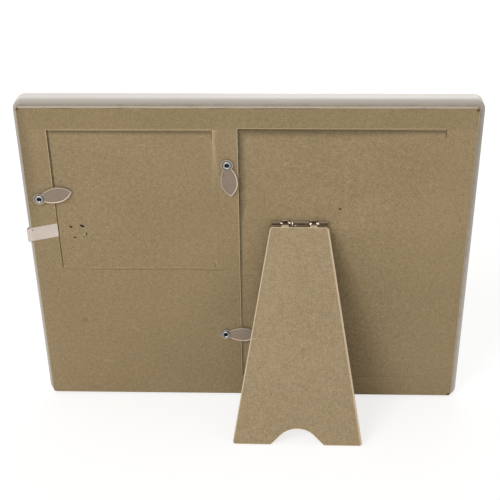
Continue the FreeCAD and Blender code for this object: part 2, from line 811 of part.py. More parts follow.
make_moulding()
for photo in PHOTOS:
    make_rebate_stack(photo)
make_backboard()
make_door("small", size("small_relief_top"), size("small_relief_bottom"))
make_door("large", size("large_relief_top"), 0)
for place, (x, z) in EYELETS.items():
    make_turn_button(place)
    make_eyelet(place)
    UPRIGHT[f"eyelet_{place}"] = Placement(Vector(x, 0, z), Rotation())
    turn = Rotation(Vector(0, -1, 0), size(f"{place}_leaf_turn"))
    UPRIGHT[f"turn_button_{place}"] = Placement(Vector(x, 0, z), turn)
make_strut()
make_hinge_leaf("door")
make_hinge_leaf("strut")
make_hinge_pin()
make_edge_tape()


# Standing: the frame leans until the moulding's rounded lower back edge and the strut's foot are level

def foot_middle():
    """Middle of the open foot's inner edge, in the upright frame."""
    return strut_place().multVec(Vector(0, -size("barrel_radius"), -size("strut_reach")))


def lean_angle():
    """The lean, in degrees, that puts the foot as low as the lowest point of the moulding's back radius."""
    foot = foot_middle()
    radius = size("moulding_back_radius")
    behind = foot.y - size("board_thickness") - radius
    above = foot.z + size("moulding_margin") - radius
    return math.degrees(math.pi + math.asin(radius / math.hypot(behind, above)) - math.atan2(above, behind))


def pieces():
    """Every finished piece, by label."""
    kinds = ("PartDesign::Body", "Part::Cut", "Part::Box", "Part::Cylinder")
    fused = [item.Name for thing in doc.findObjects("Part::MultiFuse") for item in thing.Shapes]
    cutters = [thing.Tool.Name for thing in doc.findObjects("Part::Cut")]
    return [thing for thing in doc.Objects if thing.TypeId in kinds and thing.Name not in fused + cutters]


PLACES = {
    "small_door": door_place("small"),
    "large_door": door_place("large"),
    "hinge_door_leaf": hinge_place(),
    "hinge_strut_leaf": strut_place(),
    "strut": strut_place(),
}
UPRIGHT.update(PLACES)


def stand(shift):
    """Lean every piece back and move it by a shift."""
    lean = Placement(shift, Rotation(Vector(1, 0, 0), lean_angle()))
    for piece in pieces():
        piece.Placement = lean * UPRIGHT.get(piece.Label, Placement())
    doc.recompute()
    return lean


def whole_box():
    box = FreeCAD.BoundBox()
    for piece in pieces():
        box.add(piece.Shape.optimalBoundingBox(False, False))
    return box


doc.recompute()
stand(Vector(0, 0, 0))
box = whole_box()
lean = stand(Vector(-box.Center.x, -box.Center.y, -box.ZMin))

for thing in doc.Objects:
    if "Invalid" in thing.State or "Error" in thing.State:
        raise RuntimeError(f"{thing.Label} failed: {thing.State}")
for piece in pieces():
    if piece.Shape.isNull() or not piece.Shape.isValid():
        raise RuntimeError(f"{piece.Label} has no valid shape")

os.makedirs("parts", exist_ok=True)
for piece in pieces():
    piece.Shape.exportStep(f"parts/{piece.Label}.step")


# The places of joints and faces in the standing frame, for whoever fits the piece to something

def tell(name, place, point, direction):
    spot = place.multVec(Vector(*point))
    way = place.Rotation.multVec(Vector(*direction))
    print(f"{name}: at {spot.x:.4f} {spot.y:.4f} {spot.z:.4f} along {way.x:.6f} {way.y:.6f} {way.z:.6f}")


tell("small_door_crease", lean * door_place("small"), (0, 0, 0), (0, 0, 1))
tell("large_door_crease", lean * door_place("large"), (0, 0, 0), (0, 0, 1))
tell("hinge_pin_axis", lean * hinge_place(), (0, 0, 0), (-1, 0, 0))
for place in EYELETS:
    tell(f"eyelet_{place}_axis", lean * UPRIGHT[f"eyelet_{place}"], (0, 0, 0), (0, -1, 0))
bottom_middle = (
    size("moulding_offset"),
    size("board_thickness + ( moulding_depth + moulding_back_radius - moulding_front_radius ) / 2"),
    -size("moulding_margin"),
)
tell("moulding_bottom_face", lean, bottom_middle, (0, 0, -1))
front_middle = (
    -size(f"{BOARD_WIDTH} / 4"),
    size("board_thickness + moulding_depth"),
    size(f"{BOARD_HEIGHT} / 4"),
)
tell("moulding_front_face", lean, front_middle, (0, 1, 0))
print(f"lean {lean_angle():.3f} degrees, whole size {whole_box()}")
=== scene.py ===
import json
import math

import bmesh
import bpy
from mathutils import Euler, Matrix, Vector


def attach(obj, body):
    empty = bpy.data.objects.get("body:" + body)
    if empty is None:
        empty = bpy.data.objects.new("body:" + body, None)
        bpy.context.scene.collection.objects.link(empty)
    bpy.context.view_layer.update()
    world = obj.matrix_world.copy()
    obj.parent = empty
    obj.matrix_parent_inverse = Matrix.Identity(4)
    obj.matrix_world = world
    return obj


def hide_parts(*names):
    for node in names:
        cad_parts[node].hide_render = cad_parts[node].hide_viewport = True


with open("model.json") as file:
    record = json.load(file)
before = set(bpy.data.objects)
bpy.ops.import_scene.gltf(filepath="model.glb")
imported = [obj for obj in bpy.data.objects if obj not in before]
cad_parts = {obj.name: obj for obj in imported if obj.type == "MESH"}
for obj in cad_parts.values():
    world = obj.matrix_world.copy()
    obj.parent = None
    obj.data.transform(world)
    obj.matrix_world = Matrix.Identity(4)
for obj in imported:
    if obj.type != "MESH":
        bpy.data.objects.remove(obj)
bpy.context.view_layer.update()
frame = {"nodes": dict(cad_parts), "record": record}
nodes = frame["nodes"]

# Lengths are in metres. The upright plane is the board's outer face as it would stand without the lean:
# x runs across from the board's middle, y into the frame and z up from the board's lower edge.

JOINTS = {joint["name"]: joint for joint in frame["record"]["behaviour"]["joints"]}

# Rectangles in the upright plane: left, right, bottom, top
BOARD = (-0.1155, 0.1155, 0.0, 0.1813)
SMALL_CUT = (-0.1013, -0.0175, 0.0859, 0.1691)
LARGE_CUT = (-0.0045, 0.1001, 0.0130, 0.1698)
# The doors' creases: place across, and height of the lower end
SMALL_CREASE = (-0.0175, 0.0863)
LARGE_CREASE = (0.1001, 0.0134)
# Between a door and its cut, and how far the knife ran on past the crease
DOOR_GAP = 0.0004
OVERRUN = 0.0067
# The turn buttons: pivot across and up, the leaf's turn in degrees, and how much its plastic is lightened,
# painted light that the plastic gathers, most on the lower one
EYELETS = {
    "left": (-0.1090, 0.1296, 14.4, 1.06),
    "upper": (-0.0102, 0.1498, -84.3, 1.04),
    "lower": (-0.0133, 0.0433, -1.0, 1.24),
}

CREASE_AXIS = Vector(JOINTS["large_door_crease"]["axis"])
LEANING = Matrix.Rotation(math.atan2(-CREASE_AXIS.y, CREASE_AXIS.z), 4, "X")
OUT = LEANING @ Vector((0.0, -1.0, 0.0))
CREASE_FOOT = Vector((LARGE_CREASE[0], 0.0, LARGE_CREASE[1]))
ZERO = Vector(JOINTS["large_door_crease"]["pos_m"]) - LEANING @ CREASE_FOOT
UPRIGHT = Matrix.Translation(ZERO) @ LEANING
TO_UPRIGHT = UPRIGHT.inverted()

# The strut's own frame, with the strut open: x along the hinge pin, z up the strut, zero at the pin's middle
STRUT_TILT = math.radians(14.002)
PIN = Vector(JOINTS["strut_hinge"]["pos_m"])
PIN_AXIS = -Vector(JOINTS["strut_hinge"]["axis"])
STRUT_UP = PIN_AXIS.cross(Matrix.Rotation(-STRUT_TILT, 3, "X") @ Vector((0.0, 1.0, 0.0))).normalized()
STRUT_TURN = Matrix((PIN_AXIS, STRUT_UP.cross(PIN_AXIS), STRUT_UP)).transposed().to_4x4()
TO_STRUT = (Matrix.Translation(PIN) @ STRUT_TURN).inverted()
# The strut's half width at the pin, and how much it grows per length towards the foot
STRUT_HALF, STRUT_FLARE = 0.0151, 0.165

BLACK = (0.0, 0.0, 0.0)
WHITE = (1.0, 1.0, 1.0)


def add(name, data):
    """Put a new object into the scene."""
    piece = bpy.data.objects.new(name, data)
    bpy.context.scene.collection.objects.link(piece)
    return piece


def scaled(colour, factor):
    return tuple(factor * value for value in colour)


def frame_body(name):
    return next(body for body, members in frame["record"]["behaviour"]["bodies"].items() if name in members)


# Camera, at the photograph's angle

camera_data = bpy.data.cameras.new("camera")
camera_data.sensor_width = 36.0
camera_data.lens = 78.768
camera = add("camera", camera_data)
camera.location = (0.02182, -0.55765, 0.27600)
camera.rotation_euler = Euler((math.radians(72.2217), math.radians(0.2899), math.radians(2.0268)))
bpy.context.scene.camera = camera
bpy.context.scene.view_settings.view_transform = "Standard"


# Shader nodes

class Graph:
    """The shader nodes of a material or world, each added with its settings and links in one call."""

    def __init__(self, owner):
        self.owner = owner
        self.owner.use_nodes = True
        self.tree = self.owner.node_tree
        self.tree.nodes.clear()

    def put(self, kind, links=None, **settings):
        node = self.tree.nodes.new("ShaderNode" + kind)
        for key, value in settings.items():
            setattr(node, key, value)
        for socket, value in (links or {}).items():
            self.join(node.inputs[socket], value)
        return node

    def join(self, socket, value):
        """Link the socket to a node or socket, or set it to a plain value."""
        if isinstance(value, bpy.types.Node):
            value = value.outputs[0]
        if isinstance(value, bpy.types.NodeSocket):
            self.tree.links.new(value, socket)
        elif socket.type == "RGBA" and len(value) == 3:
            socket.default_value = (*value, 1.0)
        else:
            socket.default_value = value

    def math(self, operation, one, two=0.0, clamp=False):
        return self.put("Math", {0: one, 1: two}, operation=operation, use_clamp=clamp)

    def times(self, first, *others):
        for other in others:
            first = self.math("MULTIPLY", first, other)
        return first

    def plus(self, first, *others):
        for other in others:
            first = self.math("ADD", first, other)
        return first

    def minus(self, one, two):
        return self.math("SUBTRACT", one, two)

    def larger(self, one, two):
        return self.math("MAXIMUM", one, two)

    def size(self, value):
        return self.math("ABSOLUTE", value)

    def squares(self, one, two):
        return self.plus(self.math("POWER", one, 2.0), self.math("POWER", two, 2.0))

    def length(self, one, two):
        return self.math("SQRT", self.squares(one, two))

    def step(self, value, low, high):
        """0 below low, 1 above high, smooth between. Low may be the larger one."""
        node = self.put("MapRange", {"Value": value}, interpolation_type="SMOOTHSTEP")
        node.inputs["From Min"].default_value = low
        node.inputs["From Max"].default_value = high
        return node.outputs["Result"]

    def between(self, value, start, full, last, end):
        """0 below start, 1 from full to last, 0 above end, smooth between."""
        return self.times(self.step(value, start, full), self.step(value, end, last))

    def ranged(self, value, low, high):
        """A value from 0 to 1 carried to low to high."""
        node = self.put("MapRange", {"Value": value})
        node.inputs["To Min"].default_value = low
        node.inputs["To Max"].default_value = high
        return node.outputs["Result"]

    def place(self, matrix):
        """Object coordinates carried into another frame."""
        coordinates = self.put("TexCoord")
        turned = self.put("Mapping", {"Vector": coordinates.outputs["Object"]}, vector_type="POINT")
        turned.inputs["Location"].default_value = matrix.to_translation()
        turned.inputs["Rotation"].default_value = matrix.to_euler()
        return turned

    def axes(self, where):
        return tuple(self.put("SeparateXYZ", {0: where}).outputs)

    def stretch(self, vector, scale, turn=(0.0, 0.0, 0.0)):
        node = self.put("Mapping", {"Vector": vector}, vector_type="POINT")
        node.inputs["Scale"].default_value = scale
        node.inputs["Rotation"].default_value = turn
        return node

    def noise(self, vector, scale, detail=2.0, roughness=0.5, distortion=0.0):
        links = {"Vector": vector, "Scale": scale, "Detail": detail, "Roughness": roughness}
        return self.put("TexNoise", {**links, "Distortion": distortion}).outputs["Fac"]

    def ramp(self, value, stops):
        node = self.put("ValToRGB", {"Fac": value})
        band = node.color_ramp
        while len(band.elements) < len(stops):
            band.elements.new(0.5)
        for element, (position, colour) in zip(band.elements, stops):
            element.position = position
            element.color = (*colour, 1.0)
        return node.outputs["Color"]

    def mix(self, amount, one, two):
        node = self.put("Mix", data_type="RGBA")
        for socket, value in zip((node.inputs[0], node.inputs[6], node.inputs[7]), (amount, one, two)):
            self.join(socket, value)
        return node.outputs[2]

    def bump(self, height, strength, distance):
        links = {"Height": height, "Strength": strength, "Distance": distance}
        return self.put("Bump", links).outputs["Normal"]

    def rectangle_distance(self, x, z, edges):
        """Signed distance to a rectangle's outline in the upright plane, minus inside."""
        left, right, bottom, top = edges
        across = self.minus(self.size(self.minus(x, (left + right) / 2)), (right - left) / 2)
        up = self.minus(self.size(self.minus(z, (bottom + top) / 2)), (top - bottom) / 2)
        outside = self.length(self.larger(across, 0.0), self.larger(up, 0.0))
        inside = self.math("MINIMUM", self.larger(across, up), 0.0)
        return self.plus(outside, inside)

    def spot(self, x, z, middle, long, short, degrees):
        """1 inside an ellipse in the upright plane, fading out at its rim."""
        cosine, sine = math.cos(math.radians(degrees)), math.sin(math.radians(degrees))
        dx, dz = self.minus(x, middle[0]), self.minus(z, middle[1])
        u = self.plus(self.times(dx, cosine), self.times(dz, sine))
        v = self.minus(self.times(dz, cosine), self.times(dx, sine))
        reach = self.squares(self.math("DIVIDE", u, long / 2), self.math("DIVIDE", v, short / 2))
        return self.step(reach, 1.4, 0.5)

    def shown_rays(self):
        """1 for rays that bring the background to the camera, straight or by way of metal and glass."""
        rays = self.put("LightPath").outputs
        bounced = self.math("ADD", rays["Is Glossy Ray"], rays["Is Transmission Ray"], clamp=True)
        return self.math("ADD", rays["Is Camera Ray"], bounced, clamp=True)

    def principled(self, **values):
        shader = self.put("BsdfPrincipled")
        for name, value in values.items():
            self.join(shader.inputs[name.replace("_", " ")], value)
        self.put("OutputMaterial", {"Surface": shader})
        return self.owner


def new_graph(name):
    return Graph(bpy.data.materials.new(name))


# Lights and surroundings

def area_light(name, place, target, width, power, colour=WHITE):
    data = bpy.data.lights.new(name, "AREA")
    data.size = width
    data.energy = power
    data.color = colour
    lamp = add(name, data)
    lamp.location = place
    lamp.rotation_euler = (Vector(target) - Vector(place)).to_track_quat("-Z", "Y").to_euler()


AIM = (0.0, 0.0, 0.09)
area_light("key_light", (-1.15, -2.20, 1.50), AIM, 0.95, 38.8, (1.0, 0.992, 0.975))
area_light("top_light", (-0.3, 0.1, 2.0), AIM, 1.0, 3.0)
area_light("fill_light", (0.0, -2.1, 0.25), (0.0, 0.0, 0.05), 1.0, 11.6, (1.0, 0.955, 0.865))
area_light("front_light", (0.3, 1.9, 0.8), AIM, 1.0, 8.0)

world = bpy.data.worlds.new("studio")
bpy.context.scene.world = world
g = Graph(world)
room = g.put("Background", {"Color": (1.0, 0.975, 0.930), "Strength": 0.46})
backdrop = g.put("Background", {"Color": WHITE, "Strength": 1.0})
shown = g.put("MixShader", {0: g.shown_rays(), 1: room, 2: backdrop})
g.put("OutputWorld", {"Surface": shown})


# Materials

# The painted highlight on the lip outside a cut's outline: where it begins, is full and ends
LIP_HIGHLIGHT = (-0.0001, 0.00008, 0.00075)
RAW = (0.530, 0.416, 0.248)
STRUT_RAW = (0.72, 0.585, 0.43)
LIT_RUBBED_PALE = (0.62, 0.50, 0.365)
PAINT_SMEAR = (0.50, 0.44, 0.385)
# The ragged painted shade beside a door's left cut, at its upper and at its lower end
FRINGE_SHADE_UPPER, FRINGE_SHADE_LOWER = (0.030, 0.021, 0.013), (0.090, 0.060, 0.030)


class Fibreboard(Graph):
    """Brown board of short matted fibres. The methods add what the knife and handling left on it,
    and painted shade and highlights along its cuts and rim.
    """

    def __init__(self, name, matrix, tones):
        super().__init__(bpy.data.materials.new(name))
        self.matrix = matrix
        self.where = where = self.place(matrix)
        self.x, _, self.z = self.axes(where)
        self.dark, middle, self.light = tones
        grain = self.noise(where, 1300.0, 3.0, 0.65)
        clumps = self.noise(where, 420.0, 3.0, 0.55, 0.4)
        cloud = self.noise(where, 22.0, 3.0, 0.5)
        fibres = self.noise(self.stretch(where, (420.0, 420.0, 2300.0), (0.0, 0.35, 0.0)), 1.0, 2.0, 0.6)
        others = self.noise(self.stretch(where, (2300.0, 420.0, 420.0), (0.0, -0.5, 0.0)), 1.0, 2.0, 0.6)
        shares = ((grain, 0.38), (clumps, 0.18), (cloud, 0.10), (fibres, 0.17), (others, 0.17))
        tone = self.plus(*(self.times(layer, share) for layer, share in shares))
        self.colour = self.ramp(tone, [(0.36, self.dark), (0.50, middle), (0.64, self.light)])
        specks = self.step(self.noise(where, 620.0, 1.0), 0.71, 0.78)
        self.tint(self.times(specks, 0.45), scaled(self.dark, 0.45))
        flakes = self.noise(self.stretch(where, (500.0, 900.0, 1500.0), (0.0, 1.1, 0.0)), 1.0, 1.0)
        self.tint(self.times(self.step(flakes, 0.72, 0.80), 0.35), scaled(self.light, 1.5))
        self.height = self.plus(self.times(grain, 0.6), self.times(clumps, 0.4))
        self.ragged = self.noise(where, 700.0, 2.0)
        self.fuzz = self.step(self.noise(where, 900.0, 2.0), 0.15, 0.42)

    def tint(self, mask, shade):
        self.colour = self.mix(mask, self.colour, shade)

    def painted_lip_highlights(self, cuts):
        """A painted highlight on the board's lip round each door's cut, left of the crease and above the
        heights given.
        """
        begins, full, ends = LIP_HIGHLIGHT
        for edges, heights in cuts:
            distance = self.rectangle_distance(self.x, self.z, edges)
            uneven = self.plus(self.times(self.step(self.ragged, 0.30, 0.62), 0.25), 0.58)
            lip = self.times(
                self.between(distance, begins, full, full, ends), uneven,
                self.step(self.x, edges[1], edges[1] - 0.0003), self.step(self.z, *heights))
            self.tint(self.times(lip, 0.62), scaled(self.light, 1.5))

    def small_crease(self):
        """The small door's scored crease, and painted shade along its lower cut, drawn on door and board
        alike.
        """
        across, foot = SMALL_CREASE
        aside = self.size(self.minus(self.x, across))
        along = self.between(self.z, foot - 0.0004, foot, 0.1640, 0.1690)
        strength = self.plus(0.06, self.times(self.step(self.z, 0.120, 0.150), 0.07))
        self.tint(self.times(self.step(aside, 0.0012, 0.0002), along, strength), scaled(self.light, 1.2))
        # A dark line painted along the lower cut and on past the crease where the knife ran on: painted
        # shade in the cut
        lower, end = SMALL_CUT[2], across + OVERRUN
        cut_shade = self.times(
            self.between(self.z, lower - 0.0007, lower - 0.0003, lower, lower + 0.0002),
            self.between(self.x, -0.1014, -0.1010, end - 0.001, end), 0.50)
        self.tint(cut_shade, scaled(self.dark, 0.45))
        nick = self.times(self.step(aside, 0.0004, 0.0001), along, self.step(self.z, 0.0916, 0.0904), 0.6)
        self.tint(nick, scaled(self.light, 1.4))

    def sunk_rim(self, left, top, bottom, frayed, fringe, shade, reach, beside, lower):
        """A door's rim: painted shade under the upper cut, ragged painted shade beside the left one, a
        painted highlight at the lower one.
        """
        below, inward = self.minus(top, self.z), self.minus(self.x, left)
        # The painted shade is narrower towards the crease, and lower down
        spread = self.times(below, self.plus(1.0, self.times(self.step(self.x, 0.050, 0.098), 0.8)))
        upper_shade = self.times(self.step(spread, reach, 0.0), shade)
        spread = self.times(inward, self.plus(1.0, self.times(self.step(self.z, 0.125, 0.105), 2.3)))
        calm = self.step(self.z, 0.110, 0.060)
        fringe_share = self.times(self.step(self.z, *frayed), self.minus(1.0, self.times(calm, 0.75)))
        left_shade = self.times(self.step(spread, beside, 0.0), 0.52, fringe_share)
        self.tint(self.larger(upper_shade, left_shade), BLACK)
        # A narrow dark line of painted shade just under the upper cut
        self.tint(self.times(self.step(below, 0.0010, 0.0005), 0.35), scaled(self.dark, 0.45))
        # Ragged painted shade along the left cut, darkest higher up
        ragged_shade = self.times(self.noise(self.where, 330.0, 4.0, 0.7), fringe_share, fringe)
        fringe_shade_colour = self.mix(calm, FRINGE_SHADE_UPPER, FRINGE_SHADE_LOWER)
        self.tint(self.step(self.minus(inward, ragged_shade), 0.0001, -0.0001), fringe_shade_colour)
        # A painted highlight along the lower cut's lit edge
        lower_highlight = self.times(
            self.step(self.z, bottom + 0.0007, bottom + 0.0004), self.step(self.ragged, 0.2, 0.5), lower)
        self.tint(lower_highlight, scaled(self.light, 1.4))

    def bare_edges(self, raw, shade_sideways):
        """Raw fibres where the surface turns away from the board's plane, fewer of them on walls that face
        sideways, as painted shade in the cuts.
        """
        normal = self.put("TexCoord").outputs["Normal"]
        facing = self.put("VectorMath", {0: normal}, operation="DOT_PRODUCT")
        facing.inputs[1].default_value = self.matrix.inverted().to_3x3() @ Vector((0.0, -1.0, 0.0))
        bared = self.times(self.step(self.size(facing.outputs["Value"]), 0.96, 0.80), self.fuzz)
        if shade_sideways:
            # Walls that face sideways keep more of the board's darker colour: painted shade in the cuts
            sideways = self.step(self.size(self.axes(normal)[0]), 0.80, 0.97)
            bared = self.times(bared, self.minus(1.0, self.times(sideways, 0.75)))
        self.tint(bared, raw)

    def lit_rubbed_sides(self):
        """The strut's long sides, paler from rubbing and with a painted highlight where the eased edges
        catch the light, the right one broader than the left one.
        """
        half = self.minus(STRUT_HALF, self.times(self.z, STRUT_FLARE))
        even = self.plus(self.times(self.fuzz, 0.4), 0.6)
        for side, breadth, strength in ((1.0, 0.0013, 0.72), (-1.0, 0.0008, 0.45)):
            inset = self.minus(half, self.times(self.x, side))
            self.tint(self.times(self.step(inset, breadth, 0.5 * breadth), strength, even), LIT_RUBBED_PALE)

    def marked(self, marks):
        for middle, long, short, degrees, shade, strength in marks:
            mask = self.times(self.spot(self.x, self.z, middle, long, short, degrees), strength)
            self.tint(mask, shade)
            self.height = self.minus(self.height, mask)

    def painted_rim(self):
        """Painted shade along the rim's left side and top, a broken dark line of painted shadow under the
        moulding's edge, and smears of the moulding's paint along the board's rim.
        """
        rim = self.rectangle_distance(self.x, self.z, BOARD)
        # Painted shade along the left side and over the top of the board
        left = self.times(self.step(self.x, -0.1075, -0.1150), self.step(self.z, 0.090, 0.150), 0.24)
        top = self.times(self.step(self.z, 0.1685, 0.1710), 0.08)
        self.tint(self.larger(left, top), BLACK)
        # A broken line of painted shadow just under the moulding's top edge
        breaks = self.noise(self.stretch(self.where, (60.0, 300.0, 300.0)), 1.0, 2.0, 0.6)
        shadow_dashes = self.times(
            self.step(breaks, 0.52, 0.60), self.step(rim, -0.0008, -0.0004),
            self.step(self.z, 0.1800, 0.1804), 0.55)
        self.tint(shadow_dashes, scaled(self.dark, 0.40))
        scuffs = self.noise(self.stretch(self.where, (90.0, 900.0, 1400.0)), 1.0, 3.0, 0.7)
        smears = self.times(self.step(rim, -0.00018, -0.00008), self.step(scuffs, 0.34, 0.44))
        self.tint(smears, PAINT_SMEAR)

    def finish(self):
        return self.principled(Base_Color=self.colour, Roughness=0.88, Specular_IOR_Level=0.25,
                               Normal=self.bump(self.height, 0.35, 0.00012))


def fibreboard(name, matrix, tones, raw, cuts=(), marks=(), sunk=None, creased=False, rubbed_and_lit=False,
               painted=False):
    board = Fibreboard(name, matrix, tones)
    board.painted_lip_highlights(cuts)
    if creased:
        board.small_crease()
    if sunk is not None:
        board.sunk_rim(**sunk)
    board.bare_edges(raw, shade_sideways=not rubbed_and_lit)
    if rubbed_and_lit:
        board.lit_rubbed_sides()
    board.marked(marks)
    if painted:
        board.painted_rim()
    return board.finish()


def painted_moulding():
    """Off-white paint sprayed over a smooth moulding, with painted shade towards the rear and darker in
    blotches where it meets the board.
    """
    g = new_graph("off_white_paint")
    where = g.place(TO_UPRIGHT)
    across, depth, up = g.axes(where)
    cloud = g.noise(where, 18.0, 3.0, 0.55)
    peel = g.noise(where, 750.0, 2.0, 0.5)
    fine = g.noise(where, 2600.0, 2.0, 0.5)
    colour = g.ramp(cloud, [(0.3, (0.715, 0.688, 0.656)), (0.7, (0.760, 0.735, 0.702))])
    # Painted shade at the rear, where the rounded back turns from the light: darkest along the top and
    # palest low on the sides
    rear_shade = g.step(depth, 0.0072, 0.0012)
    top = g.step(up, 0.1805, 0.1826)
    right = g.times(g.step(across, 0.1145, 0.1165), g.step(up, 0.185, 0.020))
    left = g.times(g.step(across, -0.1145, -0.1165), g.step(up, 0.120, 0.040))
    rear_shade_colour = g.mix(top, (0.262, 0.232, 0.182), (0.195, 0.172, 0.135))
    rear_shade_colour = g.mix(right, rear_shade_colour, (0.430, 0.388, 0.350))
    rear_shade_colour = g.mix(left, rear_shade_colour, (0.345, 0.308, 0.255))
    colour = g.mix(g.times(rear_shade, 0.92), colour, rear_shade_colour)
    # Darker in blotches along the join with the board
    join = g.step(depth, 0.0026, 0.0019)
    join_blotches = g.times(join, g.step(g.noise(where, 240.0, 4.0, 0.7), 0.35, 0.75))
    colour = g.mix(g.times(join_blotches, 0.5), colour, (0.16, 0.14, 0.11))
    scratch = g.noise(g.stretch(where, (60.0, 1500.0, 1500.0)), 1.0, 2.0, 0.6)
    colour = g.mix(g.times(g.step(scratch, 0.68, 0.76), 0.25), colour, (0.62, 0.57, 0.50))
    height = g.plus(g.times(peel, 0.7), g.times(fine, 0.3))
    rough = g.plus(g.ranged(cloud, 0.34, 0.46), g.times(rear_shade, 0.25))
    return g.principled(Base_Color=colour, Roughness=rough, Normal=g.bump(height, 0.10, 0.00008))


def leaf_plastic(place):
    """Clear brownish plastic with a frosted face and fine moulded lines at the leaf's tip."""
    across, up, degrees, pale = EYELETS[place]
    turn = math.radians(degrees)
    leaf_place = Matrix.Translation((across, 0.0, up)) @ Matrix.Rotation(-turn, 4, "Y")
    line_pitch = 0.00062
    g = new_graph(f"translucent_plastic_{place}")
    where = g.place((UPRIGHT @ leaf_place).inverted())
    along, depth, aside = g.axes(where)
    flow = g.noise(g.stretch(where, (90.0, 260.0, 260.0)), 1.0, 2.0, 0.5)
    haze = g.noise(where, 2400.0, 2.0, 0.5)
    tip = g.step(along, 0.0085, 0.0135)
    slant = g.plus(g.times(along, 0.55), aside)
    lines = g.times(g.math("SINE", g.times(slant, 2 * math.pi / line_pitch)), tip)
    lined = g.times(g.plus(g.times(lines, 0.5), 0.5), tip)
    # Each leaf's tones lightened by its own factor: painted light that the plastic gathers
    tones = [scaled(tone, pale) for tone in ((0.235, 0.182, 0.136), (0.275, 0.216, 0.163))]
    colour = g.ramp(flow, [(0.3, tones[0]), (0.7, tones[1])])
    colour = g.mix(g.times(lined, 0.22), colour, (0.150, 0.116, 0.085))
    # The raised rim, pale on the side that faces the light and dull round the head
    rim = g.step(depth, -0.00118, -0.00130)
    lit_side = -0.6 * math.sin(turn) - 0.8 * math.cos(turn)
    lit = g.step(g.times(aside, lit_side), -0.0012, 0.0022)
    reach = g.length(along, aside)
    head = g.times(g.step(reach, 0.0044, 0.0036), 0.55)
    rim_colour = g.mix(lit, (0.41, 0.345, 0.285), (0.66, 0.54, 0.44))
    rim_colour = g.mix(head, rim_colour, (0.27, 0.225, 0.185))
    colour = g.mix(rim, colour, rim_colour)
    # Painted shade in the groove between the head's rim and the eyelet
    groove_shade = g.times(g.step(reach, 0.00295, 0.00250), g.minus(1.0, rim))
    colour = g.mix(g.times(groove_shade, 0.75), colour, (0.095, 0.080, 0.070))
    height = g.plus(g.times(lines, 0.5), g.times(haze, 0.05))
    alpha = g.math("ADD", g.times(g.larger(rim, groove_shade), 0.18), 0.75, clamp=True)
    return g.principled(Base_Color=colour, Roughness=0.42, Alpha=alpha, IOR=1.49, Coat_Weight=0.3,
                        Coat_Roughness=0.22, Normal=g.bump(height, 0.10, 0.00002))


def bright_metal():
    """Rolled bright metal of an eyelet, with fine turning marks and a dull film."""
    g = new_graph("bright_eyelet")
    where = g.place(TO_UPRIGHT)
    film = g.noise(where, 900.0, 3.0, 0.6)
    colour = g.ramp(film, [(0.3, (0.25, 0.255, 0.25)), (0.7, (0.44, 0.45, 0.44))])
    marks = g.noise(where, 3200.0, 2.0, 0.5)
    return g.principled(Base_Color=colour, Metallic=1.0, Roughness=g.ranged(film, 0.26, 0.44),
                        Normal=g.bump(marks, 0.15, 0.00003))


# Painted glints on the hinge, drawn as spots where its plating has gone bright by rubbing: place across and
# up from the middle of its pin, the spot's length and width, and its turn in degrees
RUBBED_GLINTS = (
    ((-0.0095, 0.0003), 0.0010, 0.0010, 0.0),
    ((-0.0055, 0.0006), 0.0016, 0.0008, -35.0),
    ((-0.0037, 0.0001), 0.0026, 0.00035, 90.0),
    ((-0.0021, -0.0010), 0.0010, 0.0008, 0.0),
    ((0.0057, 0.0001), 0.0013, 0.0009, 40.0),
    ((0.0095, 0.0003), 0.0015, 0.0010, -20.0),
)


def bronzed_metal():
    """Dark bronzed plating, with painted highlights along the knuckles' crowns and caps, a painted
    reflection on their lower side and painted glints where the plating has gone bright by rubbing.
    """
    g = new_graph("bronzed_metal")
    where = g.place(TO_UPRIGHT)
    across, _, height = g.axes(g.place(TO_STRUT))
    film = g.noise(where, 520.0, 4.0, 0.65)
    colour = g.ramp(film, [(0.3, (0.020, 0.013, 0.009)), (0.7, (0.075, 0.052, 0.036))])
    # The strut leaf's knuckles lie at the same distance on both sides of the middle
    knuckles = g.between(g.size(across), 0.0050, 0.0054, 0.0096, 0.0100)
    others = g.minus(1.0, knuckles)
    # A painted reflection, brown, on the knuckles' lower side
    foot = g.times(g.step(height, -0.0004, -0.0010), g.plus(g.times(others, 0.35), 0.45))
    lower_reflection_colour = g.mix(g.step(height, -0.0008, -0.0012), (0.240, 0.175, 0.125), (0.46, 0.37, 0.25))
    colour = g.mix(foot, colour, lower_reflection_colour)
    # Painted highlights along the knuckles' crowns and caps
    crown_highlight = g.times(g.step(height, 0.0004, 0.0008), others)
    colour = g.mix(crown_highlight, colour, (0.30, 0.24, 0.165))
    cap_highlight = g.times(g.step(height, 0.0009, 0.0014), knuckles, 0.9)
    colour = g.mix(cap_highlight, colour, (0.165, 0.122, 0.080))
    # Painted glints, drawn as spots gone bright by rubbing
    glint_spots = 0.0
    for middle, long, short, degrees in RUBBED_GLINTS:
        glint_spots = g.larger(glint_spots, g.spot(across, height, middle, long, short, degrees))
    rubbed_and_lit = g.times(glint_spots, g.step(g.noise(where, 900.0, 3.0, 0.6), 0.30, 0.42))
    colour = g.mix(rubbed_and_lit, colour, (0.95, 0.86, 0.74))
    bright = g.larger(g.larger(crown_highlight, cap_highlight), g.larger(rubbed_and_lit, foot))
    metal = g.minus(1.0, g.times(bright, 0.75))
    return g.principled(Base_Color=colour, Metallic=metal, Roughness=g.ranged(film, 0.20, 0.42),
                        Normal=g.bump(film, 0.25, 0.00005))


